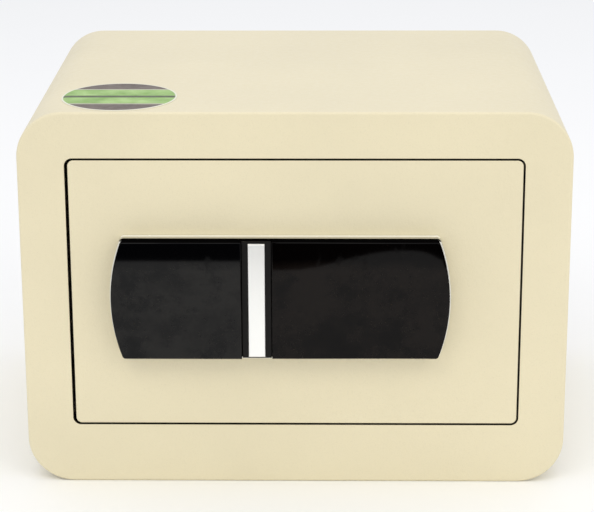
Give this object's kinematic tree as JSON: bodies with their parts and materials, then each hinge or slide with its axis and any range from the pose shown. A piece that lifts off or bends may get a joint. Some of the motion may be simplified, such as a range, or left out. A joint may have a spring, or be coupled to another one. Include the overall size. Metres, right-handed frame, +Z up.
{
  "type": "in-room safe",
  "caption": "Small steel in-room safe with rounded corners, a flush hinged door, a raised control panel and motor-driven locking bolts.",
  "frame": {"origin": "centre of the bounding box's base, on the surface the safe stands on", "axes": "+Z up, -Y out of the front of the door, +X to the right as seen from the front"},
  "size_m": [0.35, 0.264, 0.2504],
  "materials": {
    "powder_coat": "fine-textured cream powder coat",
    "steel": "bare steel",
    "zinc": "zinc plated",
    "brass": "machined brass",
    "rubber": "matt black rubber",
    "felt": "needled felt",
    "badge_film": "printed plastic film",
    "black_plastic": "moulded black plastic",
    "white_plastic": "moulded white plastic",
    "green_plastic": "moulded green plastic",
    "circuit_board": "green solder mask",
    "black_gloss": "polished black acrylic",
    "satin_metal": "satin anodised",
    "cell_wrap": "shrink-wrapped cell"
  },
  "bodies": {
    "housing": {"front_frame": "powder_coat", "body_wrap": "powder_coat", "back_wall": "powder_coat", "anchor_plug_left": "rubber", "anchor_plug_right": "rubber", "door_jamb": "powder_coat", "hinge_bracket_bottom": "steel", "hinge_bracket_top": "steel", "hinge_pin_bottom": "steel", "hinge_pin_top": "steel", "floor_mat": "felt", "badge": "badge_film"},
    "door": {"door_plate": "powder_coat", "cable_grommet": "rubber", "hinge_lug_bottom": "steel", "hinge_lug_top": "steel", "door_tray": "powder_coat", "door_cover": "powder_coat", "cover_pillar_1": "zinc", "cover_pillar_2": "zinc", "cover_pillar_3": "zinc", "cover_pillar_4": "zinc", "cover_screw_1": "zinc", "cover_screw_2": "zinc", "cover_screw_3": "zinc", "cover_screw_4": "zinc", "bolt_bush_bottom": "black_plastic", "bolt_bush_top": "black_plastic", "gearbox": "brass", "drive_motor": "steel", "motor_bracket": "steel", "rack_guide": "white_plastic", "key_cylinder": "zinc", "cylinder_nut": "zinc", "override_switch": "black_plastic", "power_socket": "black_plastic", "control_board": "circuit_board", "ribbon_cable": "white_plastic", "battery_box": "black_plastic", "contact_strip_left": "zinc", "contact_strip_right": "zinc", "battery_cell_1": "cell_wrap", "battery_cell_2": "cell_wrap", "battery_cell_3": "cell_wrap", "battery_cell_4": "cell_wrap", "reset_switch": "black_plastic", "panel_base": "powder_coat", "keypad_board": "circuit_board", "touch_lens": "black_gloss", "spine_strip": "black_plastic", "trim_bar": "satin_metal"},
    "bolts": {"bolt_carriage": "steel", "locking_bolt_bottom": "zinc", "locking_bolt_top": "zinc"},
    "pinion": {"drive_pinion": "brass"},
    "key": {"key_plug": "brass", "key_cam": "steel"},
    "front_cover": {"slide_cover": "black_gloss"},
    "cell_cover": {"battery_cover": "black_plastic"},
    "reset": {"reset_button": "green_plastic"}
  },
  "joints": [
    {"name": "door_hinge", "type": "hinge", "parent": "housing", "child": "door", "pos_m": [-0.13, -0.111, 0.13], "axis": [0, 0, -1], "range_deg": [0, 100]},
    {"name": "bolt_slide", "type": "slide", "parent": "door", "child": "bolts", "axis": [1, 0, 0], "range_m": [0, 0.016]},
    {"name": "pinion_spin", "type": "hinge", "parent": "door", "child": "pinion", "pos_m": [0.076, -0.0958, 0.13], "axis": [0, 0, 1], "range_deg": [0, 160]},
    {"name": "key_turn", "type": "hinge", "parent": "door", "child": "key", "pos_m": [-0.066, -0.1125, 0.111], "axis": [0, 1, 0], "range_deg": [0, 90]},
    {"name": "cover_slide", "type": "slide", "parent": "door", "child": "front_cover", "axis": [0, 0, 1], "range_m": [0, 0.04]},
    {"name": "cell_cover_slide", "type": "slide", "parent": "door", "child": "cell_cover", "axis": [0, 0, -1], "range_m": [0, 0.06]},
    {"name": "reset_press", "type": "slide", "parent": "door", "child": "reset", "axis": [0, -1, 0], "range_m": [0, 0.0015], "stiffness_N_per_m": 300}
  ],
  "couplings": [
    {"joint": "pinion_spin", "follows": "bolt_slide", "rad_per_m": 166.67}
  ]
}
